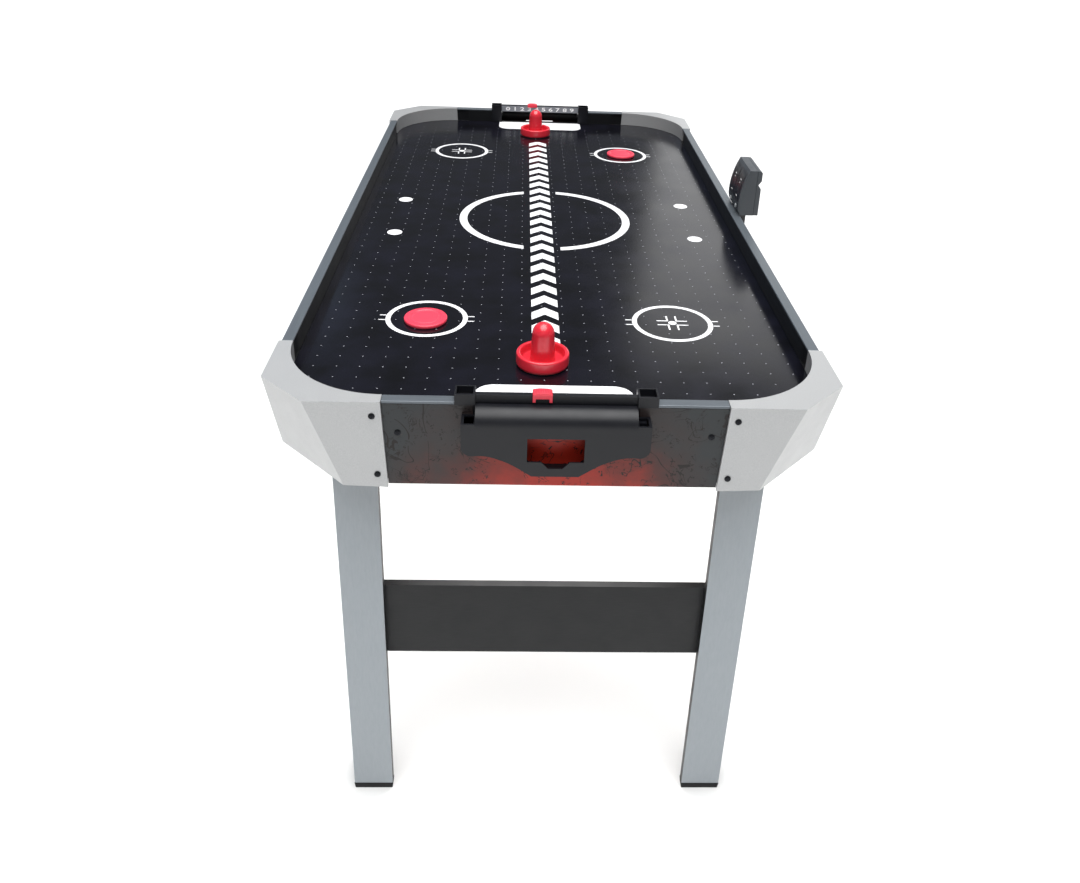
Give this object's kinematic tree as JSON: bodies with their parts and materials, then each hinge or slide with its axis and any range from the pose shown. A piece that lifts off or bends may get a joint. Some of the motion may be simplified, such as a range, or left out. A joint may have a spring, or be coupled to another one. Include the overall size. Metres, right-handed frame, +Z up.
{
  "type": "air hockey table",
  "caption": "Free-standing air hockey table with rounded playing corners, faceted corner caps, goals with catch boxes, sliding score markers, mallets, pucks and a side score unit.",
  "frame": {"origin": "on the floor, midway between the four feet", "axes": "+X across the table, +Y along it to the far goal, +Z up"},
  "size_m": [0.7937, 1.568, 0.893],
  "materials": {
    "play_laminate": "high gloss laminate on fibreboard",
    "hardboard": "plain hardboard",
    "bare_wood": "sawn softwood",
    "printed_board": "satin printed foil on fibreboard",
    "rail_trim": "brushed, grey",
    "silver_plastic": "satin silver moulding",
    "leg_laminate": "satin grey foil, black inside",
    "foot_plastic": "matt moulding",
    "black_board": "satin black foil",
    "black_plastic": "fine textured moulding",
    "score_print": "grey band with white numerals",
    "red_plastic": "gloss moulding",
    "felt": "pressed felt",
    "fan_plastic": "natural moulding",
    "zinc_steel": "zinc plated",
    "black_steel": "black oxide",
    "scorer_plastic": "satin moulding",
    "smoked_lens": "smoked gloss lens",
    "button_plastic": "satin grey",
    "circuit_board": "solder mask green",
    "lead_rubber": "black sheath"
  },
  "bodies": {
    "table": {"blower_housing": "black_plastic", "blower_motor": "zinc_steel", "bottom_board": "hardboard", "cabinet_screws": "black_steel", "corner_blocks": "bare_wood", "corner_cap_far_left": "silver_plastic", "corner_cap_far_right": "silver_plastic", "corner_cap_near_left": "silver_plastic", "corner_cap_near_right": "silver_plastic", "dc_inlet": "black_plastic", "end_apron_far": "printed_board", "end_apron_near": "printed_board", "end_trim_far": "rail_trim", "end_trim_near": "rail_trim", "foot_far_left": "foot_plastic", "foot_far_right": "foot_plastic", "foot_near_left": "foot_plastic", "foot_near_right": "foot_plastic", "goal_frame_far": "black_plastic", "goal_frame_near": "black_plastic", "goal_sensors": "black_plastic", "intake_grille": "black_plastic", "leg_bolts": "zinc_steel", "leg_far_left": "leg_laminate", "leg_far_right": "leg_laminate", "leg_near_left": "leg_laminate", "leg_near_right": "leg_laminate", "motor_lead": "lead_rubber", "playfield": "play_laminate", "puck_box_far": "black_plastic", "puck_box_near": "black_plastic", "score_strip_far": "score_print", "score_strip_near": "score_print", "scorer_back": "scorer_plastic", "scorer_bracket": "scorer_plastic", "scorer_case": "scorer_plastic", "scorer_circuit_board": "circuit_board", "scorer_window": "smoked_lens", "side_apron_left": "printed_board", "side_apron_right": "printed_board", "side_trim_left": "rail_trim", "side_trim_right": "rail_trim", "stretcher_far": "black_board", "stretcher_near": "black_board", "support_battens": "bare_wood", "switch_bezel": "black_plastic", "wood_screws": "zinc_steel"},
    "score_slider_near": {"score_slider_near": "red_plastic"},
    "score_slider_far": {"score_slider_far": "red_plastic"},
    "mallet_near": {"mallet_near": "red_plastic", "mallet_felt_near": "felt"},
    "mallet_far": {"mallet_far": "red_plastic", "mallet_felt_far": "felt"},
    "puck_left": {"puck_left": "red_plastic"},
    "puck_right": {"puck_right": "red_plastic"},
    "fan": {"blower_impeller": "fan_plastic", "motor_shaft": "zinc_steel"},
    "rocker": {"switch_rocker": "black_plastic"},
    "button_near": {"scorer_button_near": "button_plastic"},
    "button_far": {"scorer_button_far": "button_plastic"}
  },
  "joints": [
    {"name": "score_slide_near", "type": "slide", "parent": "table", "child": "score_slider_near", "axis": [1, 0, 0], "range_m": [-0.067, 0.103]},
    {"name": "score_slide_far", "type": "slide", "parent": "table", "child": "score_slider_far", "axis": [1, 0, 0], "range_m": [-0.0646, 0.1054]},
    {"name": "mallet_slide_near", "type": "slide", "parent": "table", "child": "mallet_near", "axis": [0, 1, 0], "range_m": [-0.103, 0.551]},
    {"name": "mallet_slide_far", "type": "slide", "parent": "table", "child": "mallet_far", "axis": [0, -1, 0], "range_m": [-0.081, 0.573]},
    {"name": "puck_slide_left", "type": "slide", "parent": "table", "child": "puck_left", "axis": [0, 1, 0], "range_m": [-0.244, 1.172]},
    {"name": "puck_slide_right", "type": "slide", "parent": "table", "child": "puck_right", "axis": [0, -1, 0], "range_m": [-0.254, 1.162]},
    {"name": "fan_spin", "type": "hinge", "parent": "table", "child": "fan", "pos_m": [0, 0, 0.71], "axis": [0, 0, 1], "continuous": true},
    {"name": "power_rock", "type": "hinge", "parent": "table", "child": "rocker", "pos_m": [-0.3735, -0.47, 0.735], "axis": [0, 1, 0], "range_deg": [-18, 0]},
    {"name": "button_press_near", "type": "slide", "parent": "table", "child": "button_near", "axis": [1, 0, 0], "range_m": [0, 0.0012], "stiffness_N_per_m": 300, "springref_m": -0.0005},
    {"name": "button_press_far", "type": "slide", "parent": "table", "child": "button_far", "axis": [1, 0, 0], "range_m": [0, 0.0012], "stiffness_N_per_m": 300, "springref_m": -0.0005}
  ]
}
